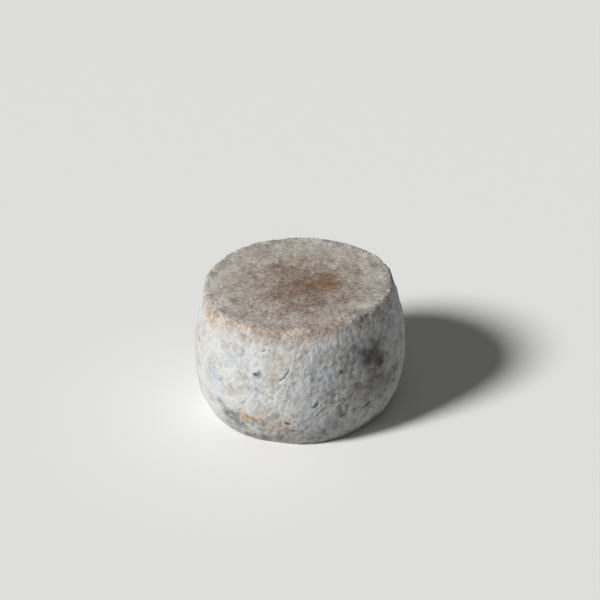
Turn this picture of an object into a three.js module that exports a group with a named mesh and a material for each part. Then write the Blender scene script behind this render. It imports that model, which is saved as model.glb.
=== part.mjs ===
// A small wheel of farmhouse cheese with a natural rind: one solid, drained, salted and ripened in one piece.
// Millimetres, +Z up. The wheel stands on its flat base, and the origin is below the middle of its outside.

import * as THREE from 'three';

// Overall sizes
const BELLY_RADIUS = 75; // at the widest ring
const WHEEL_HEIGHT = 95; // base to top face, on the axis

// Outline of the side
const BELLY_HEIGHT = 40; // height of the widest ring
const BASE_TURN_IN = 10.3; // how far the side comes in from the belly's radius where it reaches the base
const TOP_TURN_IN = 8.5; // the same where it reaches the top face
const BASE_POWER = 2.75; // how suddenly the side turns in towards the base
const TOP_POWER = 2.15; // the same towards the top
const BASE_ROUNDING = 4.5; // radius of the edge round the base
const TOP_ROUNDING = 3.5; // radius of the edge round the top

// The slump of a wheel that was moulded by hand
const TOP_RISE = 3.3; // how far the top face stands above its middle, at the belly's radius towards +X
const SIDE_SWAY = 0.9; // how far the side leans out towards +X at half height
const OVAL_SWELL = 0.3; // two-lobed departure from round, largest along X
const LOBE_SWELL = 0.8; // three-lobed departure from round, one lobe along +X

// Fineness of the mesh
const TURN_STEPS = 80;
const SIDE_STEPS = 13; // from the base's edge to the top's edge
const EDGE_STEPS = 4; // along each rounded edge
const EDGE_FIT_ROUNDS = 30; // repeats that settle where a rounded edge runs into the side

// The side's radius and inward slope at a height.
// It turns in from the belly by a power of the way to the nearer face.
function side(height) {
  const below = height < BELLY_HEIGHT;
  const span = below ? BELLY_HEIGHT : WHEEL_HEIGHT - BELLY_HEIGHT;
  const turnIn = below ? BASE_TURN_IN : TOP_TURN_IN;
  const power = below ? BASE_POWER : TOP_POWER;
  const way = Math.abs(height - BELLY_HEIGHT) / span;
  return {
    radius: BELLY_RADIUS - turnIn * way ** power,
    slope: (turnIn * power * way ** (power - 1)) / span,
  };
}

// A rounded edge is an arc that leaves a flat face without a corner and meets the side at the side's slope.
// heightAtDepth turns a depth below the flat face, inwards, into a height above the base.
function roundedEdge(rounding, heightAtDepth) {
  let depth = rounding;
  for (let round = 0; round < EDGE_FIT_ROUNDS; round += 1) {
    depth = rounding * (1 - Math.sin(Math.atan(side(heightAtDepth(depth)).slope)));
  }
  const meeting = side(heightAtDepth(depth));
  const lastAngle = Math.atan(meeting.slope);
  const centreRadius = meeting.radius - rounding * Math.cos(lastAngle);
  const points = [];
  for (let step = 0; step <= EDGE_STEPS; step += 1) {
    const angle = THREE.MathUtils.lerp(Math.PI / 2, lastAngle, step / EDGE_STEPS);
    const radius = centreRadius + rounding * Math.cos(angle);
    points.push(new THREE.Vector2(radius, heightAtDepth(rounding * (1 - Math.sin(angle)))));
  }
  return points;
}

// Half section, from the middle of the base round to the middle of the top.
function wheelOutline() {
  const baseEdge = roundedEdge(BASE_ROUNDING, (depth) => depth);
  const topEdge = roundedEdge(TOP_ROUNDING, (depth) => WHEEL_HEIGHT - depth);
  const lowest = baseEdge[EDGE_STEPS].y;
  const highest = topEdge[EDGE_STEPS].y;
  const sideWall = [];
  for (let step = 1; step < SIDE_STEPS; step += 1) {
    const crowded = (1 - Math.cos((Math.PI * step) / SIDE_STEPS)) / 2; // closer steps near both edges
    const height = THREE.MathUtils.lerp(lowest, highest, crowded);
    sideWall.push(new THREE.Vector2(side(height).radius, height));
  }
  return [
    new THREE.Vector2(0, 0),
    ...baseEdge,
    ...sideWall,
    ...topEdge.reverse(),
    new THREE.Vector2(0, WHEEL_HEIGHT),
  ];
}

// The turned form is pushed slightly out of round, and its top face is set on a slope. Both faces stay flat.
function slump(geometry) {
  const place = geometry.getAttribute('position');
  for (let index = 0; index < place.count; index += 1) {
    const x = place.getX(index);
    const y = place.getY(index);
    const z = place.getZ(index);
    const turn = Math.atan2(y, x);
    const swell = 1 + (OVAL_SWELL * Math.cos(2 * turn) + LOBE_SWELL * Math.cos(3 * turn)) / BELLY_RADIUS;
    const sway = SIDE_SWAY * Math.sin((Math.PI * z) / WHEEL_HEIGHT);
    const lift = 1 + ((TOP_RISE / WHEEL_HEIGHT) * x * swell) / BELLY_RADIUS;
    place.setXYZ(index, x * swell + sway, y * swell, z * lift);
  }
}

// Turned about Y by LatheGeometry, stood up on Z, slumped, then moved so that its outside is centred on Z.
function wheelBody() {
  const geometry = new THREE.LatheGeometry(wheelOutline(), TURN_STEPS);
  geometry.rotateX(Math.PI / 2);
  slump(geometry);
  geometry.computeBoundingBox();
  const middle = geometry.boundingBox.getCenter(new THREE.Vector3());
  geometry.translate(-middle.x, -middle.y, 0);
  geometry.computeVertexNormals();
  return geometry;
}

const rind = new THREE.MeshStandardMaterial({ color: 0xbcb7ae, roughness: 0.9, metalness: 0 });

const cheese = new THREE.Group();
const wheel = new THREE.Mesh(wheelBody(), rind);
wheel.name = 'cheese_wheel';
cheese.add(wheel);

export default cheese;
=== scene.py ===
"""A small wheel of farmhouse cheese with a natural rind, on a pale floor in soft light."""

import math
from bisect import bisect_right

import bmesh
import bpy
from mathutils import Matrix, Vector, noise


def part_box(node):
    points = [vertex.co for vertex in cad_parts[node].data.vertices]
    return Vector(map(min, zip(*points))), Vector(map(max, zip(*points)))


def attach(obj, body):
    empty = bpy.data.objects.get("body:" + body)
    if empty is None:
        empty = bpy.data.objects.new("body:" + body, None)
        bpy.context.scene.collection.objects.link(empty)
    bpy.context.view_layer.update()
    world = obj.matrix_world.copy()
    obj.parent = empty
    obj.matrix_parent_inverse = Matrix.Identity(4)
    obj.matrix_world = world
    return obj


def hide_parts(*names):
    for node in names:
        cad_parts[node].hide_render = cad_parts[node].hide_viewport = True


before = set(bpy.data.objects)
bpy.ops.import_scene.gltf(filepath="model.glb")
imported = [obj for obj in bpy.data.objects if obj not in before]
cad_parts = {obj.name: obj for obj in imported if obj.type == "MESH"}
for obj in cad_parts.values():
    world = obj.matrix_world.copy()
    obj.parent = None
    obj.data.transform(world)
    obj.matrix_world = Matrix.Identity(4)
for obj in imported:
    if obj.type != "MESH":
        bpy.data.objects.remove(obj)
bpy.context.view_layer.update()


# ---------------------------------------------------------------------------------------------
# The wheel: drained in a round mould, turned and salted by hand, then ripened on a shelf.
# It is one piece, a firm paste inside its own dry rind, and it stands on a flat base.
# The rind is tan and pitted, under a powdery bloom of white and grey mould.
# ---------------------------------------------------------------------------------------------

MM = 0.001
wheel_low, wheel_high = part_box("cheese_wheel")

# Form of the plain wheel
OVAL_SWELL = 0.3 * MM  # two-lobed departure from round, largest along X
LOBE_SWELL = 0.8 * MM  # three-lobed, one lobe along +X
SIDE_SWAY = 0.9 * MM  # lean of the side towards +X at half height
TOP_RISE = 3.3 * MM  # rise of the sloping top face at the belly's radius towards +X
BELLY_HEIGHT = 40 * MM
BASE_TURN_IN = 10.3 * MM
TOP_TURN_IN = 8.5 * MM
BASE_POWER = 2.75
TOP_POWER = 2.15
BASE_ROUNDING = 4.5 * MM
TOP_ROUNDING = 3.8 * MM

belly_radius = (wheel_high.x - wheel_low.x) / 2 - OVAL_SWELL
high_side = (belly_radius - TOP_TURN_IN) / belly_radius
wheel_height = wheel_high.z - wheel_low.z - TOP_RISE * high_side


def side(height):
    """Radius and inward slope of the plain side at a height."""
    below = height < BELLY_HEIGHT
    span = BELLY_HEIGHT if below else wheel_height - BELLY_HEIGHT
    turn_in = BASE_TURN_IN if below else TOP_TURN_IN
    power = BASE_POWER if below else TOP_POWER
    way = abs(height - BELLY_HEIGHT) / span
    return belly_radius - turn_in * way**power, turn_in * power * way ** (power - 1) / span


EDGE_STEPS = 12
EDGE_FIT_ROUNDS = 30  # repeats that settle where a rounded edge runs into the side
SIDE_STEPS = 120


def rounded_edge(rounding, height_at_depth):
    """Arc from a flat face's rim to the side, as (radius, height) points."""
    depth = rounding
    for settle in range(EDGE_FIT_ROUNDS):
        depth = rounding * (1 - math.sin(math.atan(side(height_at_depth(depth))[1])))
    radius, slope = side(height_at_depth(depth))
    last = math.atan(slope)
    centre = radius - rounding * math.cos(last)
    arc = []
    for step in range(EDGE_STEPS + 1):
        angle = math.pi / 2 + (last - math.pi / 2) * step / EDGE_STEPS
        depth = rounding * (1 - math.sin(angle))
        arc.append((centre + rounding * math.cos(angle), height_at_depth(depth)))
    return arc


base_arc = rounded_edge(BASE_ROUNDING, lambda depth: depth)
top_arc = rounded_edge(TOP_ROUNDING, lambda depth: wheel_height - depth)[::-1]
side_from, side_to = base_arc[-1][1], top_arc[0][1]
side_curve = []
for step in range(1, SIDE_STEPS):
    height = side_from + (side_to - side_from) * step / SIDE_STEPS
    side_curve.append((side(height)[0], height))
outline = base_arc + side_curve + top_arc
walked = [0.0]
for (r0, h0), (r1, h1) in zip(outline, outline[1:]):
    walked.append(walked[-1] + math.hypot(r1 - r0, h1 - h0))


def on_outline(way):
    """(radius, height) at a share of the walk from the base's rim up to the top's rim."""
    distance = way * walked[-1]
    leg = min(max(bisect_right(walked, distance) - 1, 0), len(outline) - 2)
    share = (distance - walked[leg]) / (walked[leg + 1] - walked[leg])
    (r0, h0), (r1, h1) = outline[leg], outline[leg + 1]
    return r0 + (r1 - r0) * share, h0 + (h1 - h0) * share


def round_off(x, y):
    """A place on a square of half width 1 as (turn about the axis, distance out) on a disc of radius 1."""
    if x == 0 and y == 0:
        return 0.0, 0.0
    if abs(x) >= abs(y):
        turn = math.pi / 4 * y / x + (math.pi if x < 0 else 0.0)
        return turn, abs(x)
    return math.pi / 2 - math.pi / 4 * x / y + (math.pi if y < 0 else 0.0), abs(y)


# A block cut into an even grid, so that the rounded wheel has no pole and no long thin faces.
GRID_CUTS = 127
body = bmesh.new()
bmesh.ops.create_cube(body, size=2)
bmesh.ops.subdivide_edges(body, edges=body.edges[:], cuts=GRID_CUTS, use_grid_fill=True)

# The rind is laid flat as six patches in a map of unit size: four round the side, one for each flat face.
COLUMNS, ROWS = 3, 2
PATCH_MARGIN = 0.006  # above and below each patch, as a share of its height
SIDE_MARGIN = PATCH_MARGIN * COLUMNS / ROWS
patch_map = body.loops.layers.uv.new("OFBake")
for face in body.faces:
    across = face.calc_center_median()
    axis = max(range(3), key=lambda i: abs(across[i]))
    row = 0 if across[axis] < 0 else 1
    for loop in face.loops:
        co = loop.vert.co
        u, v = {0: (co.y, co.z), 1: (-co.x, co.z), 2: (co.x, co.y)}[axis]
        if row == 0:
            u = -u
        loop[patch_map].uv = (
            (axis + SIDE_MARGIN + (u + 1) / 2 * (1 - 2 * SIDE_MARGIN)) / COLUMNS,
            (row + PATCH_MARGIN + (v + 1) / 2 * (1 - 2 * PATCH_MARGIN)) / ROWS,
        )

top_share = body.verts.layers.float.new("top")  # 1 on the top face, 0 on the side
rim_share = body.verts.layers.float.new("rim")  # 1 on the edge round the top
foot_share = body.verts.layers.float.new("foot")  # 1 on the edge round the base


def fade(distance, reach):
    """1 at no distance, falling smoothly to 0 at the reach."""
    share = max(0.0, 1 - abs(distance) / reach)
    return share * share * (3 - 2 * share)


def placed(turn, radius, height):
    """Place on the slumped wheel of a point on the plain outline, turned about the axis."""
    swell = 1 + (OVAL_SWELL * math.cos(2 * turn) + LOBE_SWELL * math.cos(3 * turn)) / belly_radius
    x = radius * math.cos(turn) * swell
    y = radius * math.sin(turn) * swell
    sway = SIDE_SWAY * math.sin(math.pi * height / wheel_height)
    lift = 1 + TOP_RISE / wheel_height * x / belly_radius
    return Vector((x + sway, y, height * lift))


flat_top = outline[-1][0]
flat_base = outline[0][0]
RIM_REACH = 16 * MM
FOOT_REACH = 22 * MM
CREST_SHARE = 0.5  # how much of the rim's crest counts as top
ON_A_FLAT = 0.9999  # height on the block past which a vertex is on its top or its underside
CREST_SHORT = 0.5 * MM  # how far before the top face's rim the crest lies
crest_walk = walked[-1] - CREST_SHORT  # as a walk up the outline and on over the top face
for vert in body.verts:
    x, y, z = vert.co
    turn, out = round_off(x, y)
    if z > ON_A_FLAT:
        radius, height = flat_top * out, wheel_height
        past_crest = walked[-1] + flat_top - radius - crest_walk
        vert[rim_share] = fade(past_crest, RIM_REACH)
        crest_part = CREST_SHARE * vert[rim_share]
        vert[top_share] = 1 - crest_part if past_crest > 0 else crest_part
    elif z < -ON_A_FLAT:
        radius, height = flat_base * out, 0.0
        vert[foot_share] = 1.0
    else:
        way = (z + 1) / 2
        radius, height = on_outline(way)
        vert[rim_share] = fade(way * walked[-1] - crest_walk, RIM_REACH)
        vert[top_share] = CREST_SHARE * vert[rim_share]
        vert[foot_share] = fade(way * walked[-1], FOOT_REACH)
    vert.co = placed(turn, radius, height)
form_middle = (max(v.co.x for v in body.verts) + min(v.co.x for v in body.verts)) / 2
seat = Vector((
    (wheel_low.x + wheel_high.x) / 2 - form_middle,
    (wheel_low.y + wheel_high.y) / 2,
    wheel_low.z,
))
bmesh.ops.translate(body, verts=body.verts[:], vec=seat)
bmesh.ops.recalc_face_normals(body, faces=body.faces[:])
body.normal_update()


def on_side(azimuth, height):
    """Place on the side: degrees round from the front, towards +X, and mm above the base."""
    return placed(math.radians(azimuth - 90), side(height * MM)[0], height * MM) + seat


def on_top(x, y):
    """Place on the top face, in mm from the axis."""
    return placed(math.atan2(y, x), math.hypot(x, y) * MM, wheel_height) + seat


WANDER_STARTS = (Vector((17.3, 4.1, 9.8)), Vector((2.6, 31.4, 6.2)), Vector((8.9, 12.7, 43.5)))


def wandering(place):
    """A smooth irregular step, of up to 1 each way."""
    return Vector([noise.noise(place + start) for start in WANDER_STARTS])


RAGGED_SIZE = 6.0  # mm, of the bays in a patch's edge
RAGGED_SHARE = 0.5  # depth of the bays, as a share of the patch's reach
RAGGED_LIMIT = 5 * MM
ragged = [wandering(vert.co / MM / RAGGED_SIZE) for vert in body.verts]


def patchwork(name, places):
    """A ragged, soft-edged share of the rind round each place: (place, reach in mm)."""
    layer = body.verts.layers.float.new(name)
    for vert, aside in zip(body.verts, ragged):
        share = 0.0
        for place, reach in places:
            off = vert.co - place
            if off.length < 2 * reach * MM:
                off += aside * min(RAGGED_SHARE * reach * MM, RAGGED_LIMIT)
                share = max(share, fade(off.length, reach * MM))
        vert[layer] = share


# Where the rind's colour departs from its even bloom, as on_side(degrees, mm) and reach in mm.
patchwork("ochre", [
    (on_side(-32, 25), 8.0),
    (on_side(-28.5, 24), 8.5),
    (on_side(-25, 23.5), 6.0),
    (on_side(-29.5, 13.5), 3.5),
    (on_side(118, 22), 8.0),
    (on_side(127, 19), 9.0),
    (on_side(205, 70), 7.0),
])
patchwork("peach", [
    (on_side(-66, 89), 14.0),
    (on_side(-56, 88), 15.0),
    (on_side(-46, 89), 16.0),
    (on_side(-36, 90), 16.0),
    (on_side(-26, 91), 15.0),
    (on_side(-16, 92), 15.0),
    (on_side(-6, 93), 15.0),
    (on_side(4, 93), 15.0),
    (on_side(14, 93), 14.0),
    (on_side(24, 94), 12.0),
    (on_side(-17, 22), 15.0),
    (on_side(-8, 20), 14.0),
    (on_side(140, 90), 12.0),
    (on_side(-140, 88), 12.0),
])
patchwork("stain", [
    (on_side(45, 66), 14.0),
    (on_side(50, 58), 9.0),
    (on_side(66, 42), 6.0),
    (on_side(-22.3, 61.8), 5.0),
    (on_side(-6, 24), 2.4),
    (on_side(24, 60), 2.6),
    (on_side(-73, 62), 4.0),
    (on_side(168, 30), 5.0),
])
patchwork("amber", [(on_side(-60, 86), 5.0), (on_side(-58, 92), 5.5), (on_side(-46, 91), 5.0)])
patchwork("haze", [
    (on_side(47, 60), 17.0),
    (on_side(-20, 5), 9.0),
    (on_side(-10, 6), 9.0),
    (on_side(40, 40), 12.0),
    (on_side(46, 44), 16.0),
    (on_side(50, 41), 16.0),
    (on_side(60, 38), 14.0),
    (on_side(160, 62), 16.0),
    (on_side(172, 50), 12.0),
    (on_side(-122, 30), 14.0),
    (on_side(-108, 38), 10.0),
])
patchwork("core", [(on_top(6, -8), 66.0)])
patchwork("yolk", [(on_top(20, -3), 14.0), (on_top(12, -3), 12.0), (on_top(-14, 24), 8.0)])
patchwork("slate", [
    (on_side(-44, 21.5), 8.0),
    (on_side(-40, 19), 9.0),
    (on_side(-36, 16.5), 9.0),
    (on_side(-32, 15), 7.0),
    (on_side(-23.5, 61.5), 2.6),
    (on_side(8.5, 38.5), 4.5),
    (on_side(38, 68), 11.0),
    (on_side(30, 74), 8.0),
    (on_side(-47, 29), 5.0),
    (on_side(41, 27), 5.0),
    (on_side(140, 40), 12.0),
    (on_side(131, 33), 9.0),
    (on_side(-150, 66), 9.0),
    (on_side(-143, 60), 11.0),
    (on_side(95, 70), 9.0),
])
# Painted shade: the side away from the window and the low front and left are greyed as if in shade.
patchwork("painted_shade", [
    (on_side(42, 42), 84.0),
    (on_side(16, 10), 45.0),
    (on_side(-14, 14), 30.0),
    (on_side(-36, 6), 28.0),
])
patchwork("blue", [
    (on_side(-52.5, 49), 13.0),
    (on_side(15.5, 59), 12.0),
    (on_side(-40, 68), 8.0),
    (on_side(100, 60), 16.0),
    (on_side(-110, 60), 14.0),
])
patchwork("cream", [
    (on_side(-9, 74), 10.0),
    (on_side(-14, 66), 8.0),
    (on_side(-15, 58), 8.0),
    (on_side(-36, 42), 6.0),
    (on_side(-84, 58), 20.0),
    (on_side(-86, 30), 18.0),
    (on_side(-20, 32), 9.0),
    (on_side(2, 84), 9.0),
    (on_side(75, 40), 12.0),
    (on_side(180, 45), 16.0),
])

# Hairlines in the rind: a curved crack, scratches and slits, each from one place to another.
# The bow is how far the line bends away from straight, and the width is across its dark part, in mm.
HAIRLINES = [
    (on_side(-5.0, 68.8), on_side(-11.2, 58.0), 1.5, 0.90),
    (on_side(-18.5, 46.6), on_side(-13.2, 42.6), 0.3, 0.55),
    (on_side(-22.5, 49.0), on_side(-18.9, 47.0), -0.3, 0.45),
    (on_side(-6.5, 17.2), on_side(0.5, 15.8), -0.3, 0.90),
    (on_side(-8.0, 24.6), on_side(-4.0, 23.0), -0.4, 1.40),
    (on_side(36.5, 25.0), on_side(44.0, 28.5), 0.5, 1.10),
    (on_side(6.5, 35.9), on_side(10.3, 40.7), -0.8, 1.30),
    (on_side(24.0, 24.2), on_side(27.2, 25.8), 0.3, 0.90),
    (on_side(54.0, 27.0), on_side(57.5, 31.5), 0.2, 0.80),
    (on_side(-25.0, 61.2), on_side(-22.4, 62.2), 0.3, 2.00),
    (on_side(-31.2, 35.2), on_side(-29.6, 37.0), 0.3, 0.90),
    (on_side(-20.0, 79.0), on_side(-18.6, 80.6), 0.3, 0.90),
    (on_side(23.0, 58.2), on_side(24.6, 60.4), 0.3, 1.10),
    (on_side(121.0, 55.0), on_side(128.0, 49.0), 1.0, 0.60),
    (on_side(196.0, 30.0), on_side(203.0, 36.0), -1.2, 0.70),
    (on_side(-98.0, 42.0), on_side(-94.0, 50.0), 0.8, 0.60),
]


# Relief of the rind: slack dents, lumps left by turning, knobs and beads of dried curd, leaning creases,
# small pits, and crumbs round the rim of the top. Sizes are in mm, and gaps are shares of the spacing.
DENT_SIZE, DENT_DEPTH = 34.0, 0.45 * MM
LUMP_SIZE, LUMP_DEPTH = 10.0, 0.34 * MM
KNOB_SIZE, KNOB_DEPTH = 3.8, 0.42 * MM
KNOB_ROUGHNESS, KNOB_STEP, KNOB_LAYERS = 0.7, 2.1, 2
BEAD_SPACING, BEAD_GAP, BEAD_DEPTH = 4.8, 0.7, 0.34 * MM
CREASE_WIDTH, CREASE_LENGTH, CREASE_DEPTH = 2.3, 7.0, 0.32 * MM
CREASE_SHARPNESS = 4.5
CREASE_LEAN = -0.0070  # turn about the axis for each mm up, in radians
PIT_SPACING, PIT_RADIUS, PIT_DEPTH = 6.0, 1.3, 0.55 * MM
SMALLEST_PIT, PIT_SPREAD = 0.55, 0.6  # shares of the radius
PITS_ON_SIDE, MORE_PITS_AT_FOOT, MORE_PITS_ON_TOP = 0.45, 0.55, 0.25  # shares of the depth
CRUMB_SPACING, CRUMB_GAP, CRUMB_DEPTH = 3.6, 0.75, 0.62 * MM
CRUMB_DRIFT, CRUMB_DRIFT_SIZE = 1.1, 1.6  # how far crumbs wander out of line, in spacings
CRUMB_CLUMPING, CRUMB_CLUMP_SIZE = 0.9, 2.5  # how much they gather, and over how many spacings
CRUMBS_ON_TOP = 0.30  # height of the crumbs inside the rim, as a share
LOWEST_GRAIN, GRAIN_SPREAD = 0.7, 0.3  # height of a bead or crumb, as shares
CHANCE_DRAW, SIZE_DRAW, HEIGHT_DRAW = 7.3, 3.1, 5.7  # each gives a cell another number of its own

# Where hands and the shelf have pressed the young wheel in, or it has bulged: place, reach and depth in mm.
PRESSED = [
    (on_side(-14, 2), 16.0, -1.3),
    (on_side(9, 2), 15.0, 0.8),
    (on_side(50, 3), 20.0, -1.4),
    (on_side(70, 11), 18.0, -1.0),
    (on_side(80, 22), 20.0, -1.0),
    (on_side(90, 78), 20.0, -0.6),
    (on_side(-90, 80), 20.0, -0.8),
    (on_side(-68, 9), 14.0, -0.7),
    (on_side(150, 50), 26.0, -0.9),
    (on_side(-140, 30), 24.0, -0.8),
]


def creased(place):
    """-1 to 0: valleys that run up the side and lean over."""
    turn = CREASE_LEAN * place.z
    twisted = Vector((
        place.x * math.cos(turn) - place.y * math.sin(turn),
        place.x * math.sin(turn) + place.y * math.cos(turn),
        place.z * CREASE_WIDTH / CREASE_LENGTH,
    ))
    return -max(0.0, 1 - CREASE_SHARPNESS * abs(noise.noise(twisted / CREASE_WIDTH)))


def pitted(place):
    """0 to 1: small hollows, in about half of the cells that the rind is shared out into."""
    nearest, centres = noise.voronoi(place / PIT_SPACING)
    if noise.cell(centres[0] * CHANCE_DRAW) < 0.0:
        return 0.0
    radius = PIT_RADIUS * (SMALLEST_PIT + PIT_SPREAD * abs(noise.cell(centres[0] * SIZE_DRAW)))
    return fade(nearest[0] * PIT_SPACING, radius)


def heaped(place, spacing, gap):
    """0 in the gaps between packed grains, 1 on top of a grain."""
    nearest, centres = noise.voronoi(place / spacing)
    height = LOWEST_GRAIN + GRAIN_SPREAD * abs(noise.cell(centres[0] * HEIGHT_DRAW))
    return min(1.0, (nearest[1] - nearest[0]) / gap) * height


def bent(start, end, bow):
    """Centre, radius, middle and half length of the shallow arc between two places on the side."""
    middle = (start + end) / 2
    chord = end - start
    outward = Vector((middle.x, middle.y, 0)).normalized()
    aside = outward.cross(chord).normalized()
    radius = (chord.length_squared / 4 + bow * bow) / (2 * abs(bow))
    middle = middle + aside * bow
    return middle - aside * math.copysign(radius, bow), radius, middle, chord.length / 2


GROOVE_REACH, GROOVE_DEPTH = 1.5 * MM, 0.5 * MM
arcs = [bent(start, end, bow * MM) + (width * MM,) for start, end, bow, width in HAIRLINES]


def grooved(place):
    """0 to 1: shallow grooves along the hairlines."""
    deepest = 0.0
    for centre, radius, middle, half_length, width in arcs:
        along = (place - middle).length
        if along < half_length + GROOVE_REACH:
            off = abs((place - centre).length - radius)
            ends = min(1.0, (half_length + GROOVE_REACH - along) / GROOVE_REACH)
            deepest = max(deepest, fade(off, GROOVE_REACH) * ends)
    return deepest


SETTLE_HEIGHT = 7 * MM  # below this the rind has settled flat onto the shelf
SETTLED_LOSS = 0.5  # share of the relief that is pressed out at the base
DENTS_LOST_AT_FOOT, BEADS_AT_FOOT = 0.6, 1.3
KNOB_SHOWS, LUMP_SHOWS, CREASE_SHOWS, BEAD_SHOWS = 0.6, 0.35, 0.4, 0.5  # how far each stands out
UNDERSIDE_SHARE = 0.5  # only hollows are left on the underside, and only this much of their depth
FACING_DOWN = 0.99
relief_share = body.verts.layers.float.new("relief")  # 0 in the deepest hollow, 1 on the highest knob
pit_share = body.verts.layers.float.new("pit")
crumb_share = body.verts.layers.float.new("crumb")  # 0 between crumbs, 1 on a crumb
DENTS_AT = Vector((3.1, 7.7, 1.9))
LUMPS_AT = Vector((11.3, 2.2, 5.1))
CRUMBS_AT = Vector((5.5, 0.4, 8.8))
shift = {}
for vert in body.verts:
    place = vert.co / MM
    on_top_face, at_rim, at_foot = vert[top_share], vert[rim_share], vert[foot_share]
    settled = fade(vert.co.z - wheel_low.z, SETTLE_HEIGHT)
    dent = noise.noise(place / DENT_SIZE + DENTS_AT) * 2
    lump = noise.noise(place / LUMP_SIZE + LUMPS_AT) * 2
    knob = noise.fractal(place / KNOB_SIZE, KNOB_ROUGHNESS, KNOB_STEP, KNOB_LAYERS)
    crease = creased(place) * (1 - on_top_face)
    bead = heaped(place, BEAD_SPACING, BEAD_GAP) - 0.5
    warped = place + wandering(place / CRUMB_SPACING / CRUMB_DRIFT_SIZE) * CRUMB_SPACING * CRUMB_DRIFT
    crumb = heaped(warped + CRUMBS_AT, CRUMB_SPACING, CRUMB_GAP)
    crumb += CRUMB_CLUMPING * noise.noise(place / CRUMB_SPACING / CRUMB_CLUMP_SIZE + LUMPS_AT)
    crumb = min(1.0, max(0.0, crumb))
    pit = pitted(place) * (PITS_ON_SIDE + MORE_PITS_AT_FOOT * at_foot + MORE_PITS_ON_TOP * on_top_face)
    rise = DENT_DEPTH * dent * (1 - DENTS_LOST_AT_FOOT * at_foot)
    rise += LUMP_DEPTH * lump + KNOB_DEPTH * knob + CREASE_DEPTH * crease
    rise += BEAD_DEPTH * bead * (1 - on_top_face)
    rise += CRUMB_DEPTH * (crumb - 0.5) * (at_rim + CRUMBS_ON_TOP * (on_top_face - CREST_SHARE * at_rim))
    rise *= 1 - SETTLED_LOSS * settled
    rise += BEAD_DEPTH * bead * BEADS_AT_FOOT * at_foot * (1 - settled)
    rise -= PIT_DEPTH * pit + GROOVE_DEPTH * grooved(vert.co)
    standing = knob * KNOB_SHOWS + lump * LUMP_SHOWS + crease * CREASE_SHOWS
    standing += bead * BEAD_SHOWS * (1 - on_top_face)
    vert[relief_share] = min(1.0, max(0.0, 0.5 + 0.5 * standing))
    vert[pit_share] = pit
    vert[crumb_share] = crumb
    by = vert.normal * rise
    outward = Vector((vert.co.x, vert.co.y, 0)).normalized()
    for pressed_place, reach, depth in PRESSED:
        by += outward * (depth * MM * fade((vert.co - pressed_place).length, reach * MM))
    by.z *= 1 - settled
    if vert.normal.z < -FACING_DOWN:
        by.z = max(0.0, -rise) * UNDERSIDE_SHARE
    shift[vert] = by
for vert, by in shift.items():
    vert.co += by

wheel_mesh = bpy.data.meshes.new("wheel")
for face in body.faces:
    face.smooth = True
body.to_mesh(wheel_mesh)
body.free()
wheel = bpy.data.objects.new("wheel", wheel_mesh)
bpy.context.scene.collection.objects.link(wheel)


def shade(code):
    """A colour written as a hex code, as the linear values that a shader takes."""
    parts = [int(code[i:i + 2], 16) / 255 for i in (0, 2, 4)]
    return tuple(c / 12.92 if c <= 0.04045 else ((c + 0.055) / 1.055) ** 2.4 for c in parts) + (1.0,)


# Bare rind
DARK_TAN, PALE_TAN, RED_TAN = shade("6b5241"), shade("8f7863"), shade("7f5d49")
RUST = shade("795948")
GAP_BROWN = shade("7a6454")  # between the rim's crumbs

# Bloom
WARM_WHITE, COOL_WHITE = shade("cfcfcc"), shade("ccd0d2")
CHALK, CREAM, BEIGE = shade("c3beb5"), shade("c4bbad"), shade("beb6a9")
# The grey here is painted shade for the shaded side; the blue is the bloom's own tint.
BLUE_BLOOM, PAINTED_SHADE_GREY = shade("a6b4c0"), shade("878684")
FAINT_GREY, FAINT_BROWN = shade("96938e"), shade("827e78")

# Crumbs, moulds and stains, and the painted shade of hollows and pits
CRUMB_CREAM, PEACH, PALE_AMBER, AMBER = shade("cbc1b3"), shade("c6b09a"), shade("a98c70"), shade("be9d78")
DARK_OCHRE, PALE_OCHRE, YOLK = shade("94703f"), shade("c4a878"), shade("7f5526")
SLATE, HAZE_BROWN, STAIN_BROWN = shade("656a72"), shade("5c4f47"), shade("44372e")
# The hollow grey and the pit brown are painted shade, laid into the rind's low places.
HOLLOW_SHADE, PIT_SHADE, SPECKLE_GREY = shade("86817b"), shade("4f463f"), shade("b8b4ae")
FRECKLE_BROWN, HAIRLINE_BROWN = shade("5f5a54"), shade("3d3833")

# Dryness of the surface
BARE_ROUGHNESS, POWDER_ROUGHNESS = 0.72, 0.93
RIND_IOR = 1.42
POWDER_SHEEN, POWDER_SHEEN_ROUGHNESS = 0.12, 0.6

rind = bpy.data.materials.new("natural_rind")
rind.use_nodes = True
nodes = rind.node_tree.nodes
links = rind.node_tree.links
nodes.clear()


def wire(value, socket):
    """Links another socket in, or sets a plain value."""
    if isinstance(value, bpy.types.NodeSocket):
        links.new(value, socket)
    else:
        socket.default_value = value


def put(kind, **values):
    """Adds a shader node; names with an underscore first are its inputs, others its settings."""
    node = nodes.new(kind)
    for name, value in values.items():
        if name[0] == "_":
            wire(value, node.inputs[name[1:].replace("_", " ")])
        else:
            setattr(node, name, value)
    return node


def reckon(operation, first, second, clamp=False):
    """One sum on two values."""
    node = put("ShaderNodeMath", operation=operation, use_clamp=clamp)
    wire(first, node.inputs[0])
    wire(second, node.inputs[1])
    return node.outputs[0]


def add(first, second):
    return reckon("ADD", first, second)


def times(first, second):
    return reckon("MULTIPLY", first, second)


def between(value, low, high, low_to=0.0, high_to=1.0):
    """Smooth step of a value from one level to another."""
    node = put("ShaderNodeMapRange", interpolation_type="SMOOTHSTEP", _Value=value)
    levels = {"From Min": low, "From Max": high, "To Min": low_to, "To Max": high_to}
    for name, level in levels.items():
        node.inputs[name].default_value = level
    return node.outputs["Result"]


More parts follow.
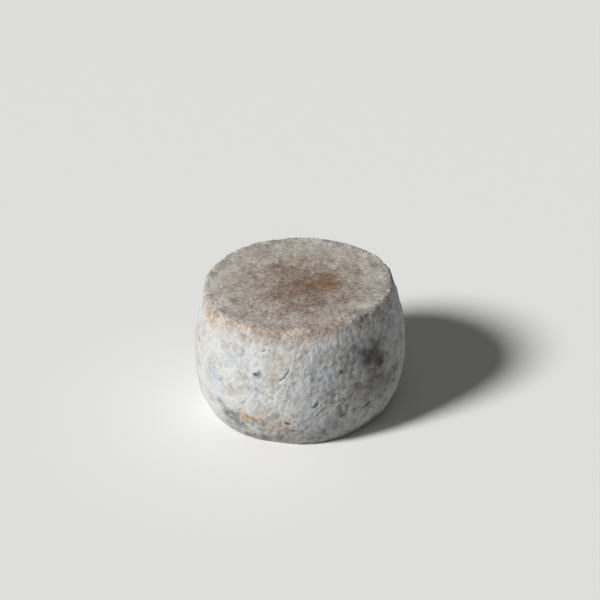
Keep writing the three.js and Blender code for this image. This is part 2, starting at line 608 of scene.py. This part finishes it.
def blend(share, under, over, kind="MIX"):
    """One colour laid over another."""
    node = put("ShaderNodeMix", data_type="RGBA", blend_type=kind)
    wire(share, node.inputs["Factor"])
    wire(under, node.inputs["A"])
    wire(over, node.inputs["B"])
    return node.outputs["Result"]


def attribute(name):
    return put("ShaderNodeAttribute", attribute_name=name).outputs["Fac"]


place_m = put("ShaderNodeTexCoord").outputs["Object"]
to_mm = put("ShaderNodeVectorMath", operation="SCALE", _Scale=1 / MM)
links.new(place_m, to_mm.inputs[0])
place_mm = to_mm.outputs[0]


def moved(x, y, z):
    """The place in mm, shifted so that each cloud starts somewhere else."""
    return put("ShaderNodeMapping", _Vector=place_mm, _Location=(x, y, z)).outputs[0]


def cloud(size, detail, rough, skew=0.0, at=place_mm):
    """0 to 1 drifting noise, with features of about a size in mm."""
    noise_node = put("ShaderNodeTexNoise", _Vector=at, _Scale=1 / size, _Detail=detail, _Roughness=rough)
    noise_node.inputs["Distortion"].default_value = skew
    return noise_node.outputs["Fac"]


top, rim, foot = attribute("top"), attribute("rim"), attribute("foot")
relief, pit, crumb = attribute("relief"), attribute("pit"), attribute("crumb")
painted_shade, peach, ochre, yolk = attribute("painted_shade"), attribute("peach"), attribute("ochre"), attribute("yolk")
stain = attribute("stain")

broad = cloud(24, 2.0, 0.5)
middle = cloud(8.0, 6.0, 0.68, 0.4, moved(31, 4, 17))
small = cloud(2.8, 5.0, 0.72, 0.2, moved(5, 61, 23))
fine = cloud(1.25, 3.0, 0.65, 0.0, moved(9, 16, 72))
powder = cloud(0.6, 2.0, 0.6, 0.0, moved(90, 7, 41))

# Bare rind: tan to brown, redder in places.
tan = blend(between(middle, 0.36, 0.64), DARK_TAN, PALE_TAN)
tan = blend(times(between(small, 0.42, 0.66), 0.6), tan, RED_TAN)

# Bloom: off-white powder, cool in some places, creamy in others and beige on the top.
bloom = blend(between(broad, 0.40, 0.60), WARM_WHITE, COOL_WHITE)
# Painted shade: the bloom is greyed on the side away from the light and low on the front and left.
bloom = blend(times(painted_shade, 0.62), bloom, PAINTED_SHADE_GREY)
warm_cloud = cloud(12, 3.0, 0.6, 0.3, moved(60, 12, 9))
bloom = blend(times(between(warm_cloud, 0.50, 0.70), 0.5), bloom, CHALK)
bloom = blend(times(attribute("blue"), 0.7), bloom, BLUE_BLOOM)
bloom = blend(times(attribute("cream"), between(middle, 0.3, 0.6, 0.5, 1.0)), bloom, CREAM)
bloom = blend(times(top, 0.80), bloom, BEIGE)
# The grey and brown flecks grow stronger where shade is painted.
faint = add(0.14, times(painted_shade, 0.32))
bloom = blend(times(between(small, 0.34, 0.52, 1.0, 0.0), faint), bloom, FAINT_GREY)
bloom = blend(times(between(fine, 0.36, 0.50, 1.0, 0.0), faint), bloom, FAINT_BROWN)

# How far the bloom covers: thick on the side, the rim and knobs, and thin on the top, foot and hollows.
core = times(attribute("core"), between(middle, 0.34, 0.56, 0.55, 1.0))
cover = 1.22
for mask, weight in [
    (top, -0.22),
    (core, -1.15),
    (foot, -0.34),
    (rim, 0.16),
    (add(relief, -0.5), add(0.35, times(top, 0.40))),
    (add(middle, -0.5), add(0.5, times(top, 0.5))),
    (add(small, -0.5), add(0.9, times(top, 1.5))),
    (add(fine, -0.5), add(0.5, times(top, 1.8))),
    (stain, -0.35),
]:
    cover = add(cover, times(mask, weight))
cover = reckon("ADD", cover, times(pit, -0.4), clamp=True)
colour = blend(cover, tan, bloom)

# Grey and slate mould in soft-edged colonies, a little more of it where shade is painted.
mould_cloud = cloud(6.5, 6.0, 0.75, 0.6, moved(14, 33, 70))
mould = times(between(mould_cloud, 0.58, 0.70), add(0.28, times(painted_shade, 0.20)))
slate_share = times(add(times(attribute("slate"), 0.95), mould), between(small, 0.36, 0.54, 0.30, 1.0))
colour = blend(slate_share, colour, SLATE)

# Cream crumbs round the rim, and peach and amber specks there and in a few patches lower down.
colour = blend(times(times(rim, between(crumb, 0.25, 0.75)), 0.70), colour, CRUMB_CREAM)
peach_cloud = between(cloud(2.2, 4.0, 0.68, 0.4, moved(44, 9, 52)), 0.42, 0.58)
colour = blend(times(times(peach_cloud, peach), 0.80), colour, PEACH)
pale_amber_cloud = between(cloud(1.6, 3.0, 0.6, 0.4, moved(13, 52, 31)), 0.50, 0.64)
colour = blend(times(times(pale_amber_cloud, peach), 0.65), colour, PALE_AMBER)
amber_cloud = between(cloud(2.4, 4.0, 0.65, 0.4, moved(3, 42, 21)), 0.38, 0.54)
colour = blend(times(times(attribute("amber"), amber_cloud), 0.80), colour, AMBER)

# Ochre patches on the side and orange-brown ones on the top, solid inside and broken at the edge.
ochre_cloud = add(cloud(2.0, 4.0, 0.72, 0.5, moved(71, 15, 6)), -0.5)
ochre_share = between(add(ochre, times(ochre_cloud, 2.2)), 0.18, 0.95)
ochre_patch = times(between(ochre, 0.0, 0.4), between(fine, 0.34, 0.52, 0.45, 1.0))
ochre_colour = blend(between(small, 0.42, 0.58), DARK_OCHRE, PALE_OCHRE)
colour = blend(times(ochre_share, ochre_patch), colour, ochre_colour)
yolk_cloud = add(cloud(3.0, 4.0, 0.72, 0.5, moved(7, 25, 86)), -0.5)
yolk_share = between(add(yolk, times(yolk_cloud, 2.2)), 0.22, 1.05)
yolk_patch = times(between(yolk, 0.0, 0.5), between(fine, 0.36, 0.54, 0.45, 1.0))
colour = blend(times(yolk_share, yolk_patch), colour, YOLK)

# Brown gaps between the crumbs, and rusty specks.
gap_share = times(between(crumb, 0.05, 0.50, 1.0, 0.0), add(times(rim, 0.46), times(top, 0.25)))
colour = blend(times(gap_share, between(middle, 0.34, 0.56, 0.5, 1.0)), colour, GAP_BROWN)
rust_cloud = cloud(1.9, 3.0, 0.6, 0.3, moved(2, 28, 77))
rusty = add(add(times(rim, 0.60), times(foot, 0.55)), add(times(top, 0.20), times(peach, 0.25)))
colour = blend(times(between(rust_cloud, 0.56, 0.65), rusty), colour, RUST)

# Brown stains, and painted shade in the pits and hollows, deepest in the hollows where shade is painted.
haze_share = times(attribute("haze"), between(middle, 0.30, 0.60, 0.3, 1.0))
colour = blend(times(haze_share, 0.70), colour, HAZE_BROWN)
stain_share = times(stain, between(middle, 0.30, 0.54, 0.5, 1.0))
colour = blend(times(stain_share, 0.90), colour, STAIN_BROWN)
hollow = reckon("SUBTRACT", 0.44, relief, clamp=True)
colour = blend(times(hollow, add(0.9, times(painted_shade, 0.6))), colour, HOLLOW_SHADE, "MULTIPLY")
colour = blend(times(pit, 0.55), colour, PIT_SHADE)

# Fine speckle through the bloom.
speckle = between(cloud(0.9, 2.0, 0.5, 0.0, moved(33, 81, 12)), 0.40, 0.60, 1.0, 0.0)
colour = blend(times(speckle, 0.22), colour, SPECKLE_GREY, "MULTIPLY")

# Fine dark freckles of old mould, in about four cells of ten.
FRECKLE_SPACING = 4.4  # mm
freckles = put("ShaderNodeTexVoronoi", feature="F1", _Vector=place_mm, _Randomness=1.0)
freckles.inputs["Scale"].default_value = 1 / FRECKLE_SPACING
freckle_edge = add(freckles.outputs["Distance"], times(add(small, -0.5), 0.5))
freckle_draw = put("ShaderNodeSeparateColor", _Color=freckles.outputs["Color"]).outputs["Red"]
freckle_share = times(between(freckle_edge, 0.06, 0.19, 1.0, 0.0), between(freckle_draw, 0.58, 0.68))
colour = blend(times(freckle_share, 0.60), colour, FRECKLE_BROWN)


def distance_from(centre):
    """How far the surface is from a place, in metres."""
    node = put("ShaderNodeVectorMath", operation="DISTANCE")
    wire(place_m, node.inputs[0])
    wire(centre, node.inputs[1])
    return node.outputs["Value"]


# Hairlines: dark where the rind has parted along an arc.
HAIRLINE_WOBBLE = 1.2 * MM
wobble = times(add(small, -0.5), HAIRLINE_WOBBLE)
for centre, radius, middle_place, half_length, width in arcs:
    off = reckon("ABSOLUTE", add(add(distance_from(centre), -radius), wobble), 0.0)
    line = between(off, width * 0.25, width * 0.65, 1.0, 0.0)
    ends = between(distance_from(middle_place), half_length * 0.7, half_length * 1.05, 1.0, 0.0)
    colour = blend(times(times(line, ends), 0.85), colour, HAIRLINE_BROWN)

surface = put("ShaderNodeBsdfPrincipled", _Base_Color=colour)
surface.inputs["Metallic"].default_value = 0.0
surface.inputs["IOR"].default_value = RIND_IOR
surface.inputs["Sheen Weight"].default_value = POWDER_SHEEN
surface.inputs["Sheen Roughness"].default_value = POWDER_SHEEN_ROUGHNESS
links.new(between(cover, 0.0, 1.0, BARE_ROUGHNESS, POWDER_ROUGHNESS), surface.inputs["Roughness"])

# Powder, grains, a fine crackle and leaning creases, finer than the modelled relief.
CRACKLE_SPACING, FINE_CREASE_WIDTH = 2.7, 1.7  # mm
FINE_CREASE_SQUASH = 0.45  # a crease is drawn out along the height
GRAIN_DEPTH, GRAIN_STRENGTH = 0.6 * MM, 0.70
crackle = put("ShaderNodeTexVoronoi", feature="DISTANCE_TO_EDGE", _Vector=place_mm, _Randomness=1.0)
crackle.inputs["Scale"].default_value = 1 / CRACKLE_SPACING
crackle_line = between(crackle.outputs["Distance"], 0.0, 0.12)
lean_turn = times(put("ShaderNodeSeparateXYZ", _Vector=place_mm).outputs["Z"], CREASE_LEAN)
leaning = put("ShaderNodeVectorRotate", rotation_type="Z_AXIS", _Vector=place_mm, _Angle=lean_turn)
drawn_out = put("ShaderNodeVectorMath", operation="MULTIPLY")
wire(leaning.outputs[0], drawn_out.inputs[0])
wire((1, 1, FINE_CREASE_SQUASH), drawn_out.inputs[1])
fine_crease = between(cloud(FINE_CREASE_WIDTH, 2.0, 0.5, 0.0, drawn_out.outputs[0]), 0.34, 0.50)
on_the_side = add(1.0, times(top, -1.0))
grain = add(times(powder, 0.45), times(small, 0.8))
grain = add(grain, times(crackle_line, 0.10))
grain = add(grain, times(times(fine_crease, on_the_side), 0.40))
bump = put("ShaderNodeBump", _Strength=GRAIN_STRENGTH, _Distance=GRAIN_DEPTH, _Height=grain)
links.new(bump.outputs["Normal"], surface.inputs["Normal"])
links.new(surface.outputs["BSDF"], put("ShaderNodeOutputMaterial").inputs["Surface"])

wheel_mesh.materials.append(rind)
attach(wheel, "root")
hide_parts("cheese_wheel")


# ---------------------------------------------------------------------------------------------
# The floor: a wide sheet of matt pale card, which the wheel stands on.
# It lies flat, far wider than the view, and isn't part of the wheel.
# ---------------------------------------------------------------------------------------------

FLOOR_REACH = 12.0  # m
CARD_WHITE, CARD_ROUGHNESS = shade("eeeeec"), 0.9
card = bmesh.new()
bmesh.ops.create_grid(card, x_segments=1, y_segments=1, size=FLOOR_REACH)
bmesh.ops.translate(card, verts=card.verts[:], vec=(0, 0, wheel_low.z))
floor_mesh = bpy.data.meshes.new("floor")
card.to_mesh(floor_mesh)
card.free()
floor = bpy.data.objects.new("floor", floor_mesh)
bpy.context.scene.collection.objects.link(floor)

pale_card = bpy.data.materials.new("pale_card")
pale_card.use_nodes = True
card_shader = pale_card.node_tree.nodes["Principled BSDF"]
card_shader.inputs["Base Color"].default_value = CARD_WHITE
card_shader.inputs["Roughness"].default_value = CARD_ROUGHNESS
floor_mesh.materials.append(pale_card)


# ---------------------------------------------------------------------------------------------
# The light: daylight from a wide window to the left and in front, in a pale room.
# The room's walls are seen as pale as the floor, but light the wheel only a little.
# ---------------------------------------------------------------------------------------------

WINDOW_AZIMUTH, WINDOW_HEIGHT = math.radians(-60), math.radians(38)  # round from the front, and up
WINDOW_WIDTH = math.radians(14)
WINDOW_STRENGTH, ROOM_STRENGTH = 3.8, 0.14
ROOM_GLOW, WALL_WHITE = shade("e6e6e6"), shade("d4d4d2")
daylight = bpy.data.lights.new("window_light", "SUN")
daylight.energy = WINDOW_STRENGTH
daylight.angle = WINDOW_WIDTH
daylight_holder = bpy.data.objects.new("window_light", daylight)
window = Vector((math.sin(WINDOW_AZIMUTH), -math.cos(WINDOW_AZIMUTH), math.tan(WINDOW_HEIGHT)))
daylight_holder.rotation_euler = window.to_track_quat("Z", "Y").to_euler()
bpy.context.scene.collection.objects.link(daylight_holder)

room = bpy.data.worlds.new("pale_room")
room.use_nodes = True
room_nodes, room_links = room.node_tree.nodes, room.node_tree.links
room_light = room_nodes["Background"]
room_light.inputs["Color"].default_value = ROOM_GLOW
room_light.inputs["Strength"].default_value = ROOM_STRENGTH
room_wall = room_nodes.new("ShaderNodeBackground")
room_wall.inputs["Color"].default_value = WALL_WHITE
seen = room_nodes.new("ShaderNodeLightPath")
room_mix = room_nodes.new("ShaderNodeMixShader")
room_links.new(seen.outputs["Is Camera Ray"], room_mix.inputs[0])
room_links.new(room_light.outputs[0], room_mix.inputs[1])
room_links.new(room_wall.outputs[0], room_mix.inputs[2])
room_links.new(room_mix.outputs[0], room_nodes["World Output"].inputs["Surface"])
bpy.context.scene.world = room
bpy.context.scene.view_settings.view_transform = "Standard"


# ---------------------------------------------------------------------------------------------
# The camera: a long lens, well back, looking down on the front of the wheel.
# It stands straight in front and is aimed at the wheel's axis, a little below the top.
# ---------------------------------------------------------------------------------------------

LOOK_DOWN = math.radians(30.63)
AIM_HEIGHT = 79.8 * MM
CAMERA_AWAY = 1.609  # m
FOCAL_LENGTH, SENSOR_WIDTH = 135.9, 36  # mm
FAR_CLIP = 100  # m
lens = bpy.data.cameras.new("camera")
lens.sensor_width = SENSOR_WIDTH
lens.lens = FOCAL_LENGTH
camera = bpy.data.objects.new("camera", lens)
camera.location = (0, -CAMERA_AWAY * math.cos(LOOK_DOWN), AIM_HEIGHT + CAMERA_AWAY * math.sin(LOOK_DOWN))
camera.rotation_euler = (math.pi / 2 - LOOK_DOWN, 0, 0)
lens.clip_end = FAR_CLIP
bpy.context.scene.collection.objects.link(camera)
bpy.context.scene.camera = camera
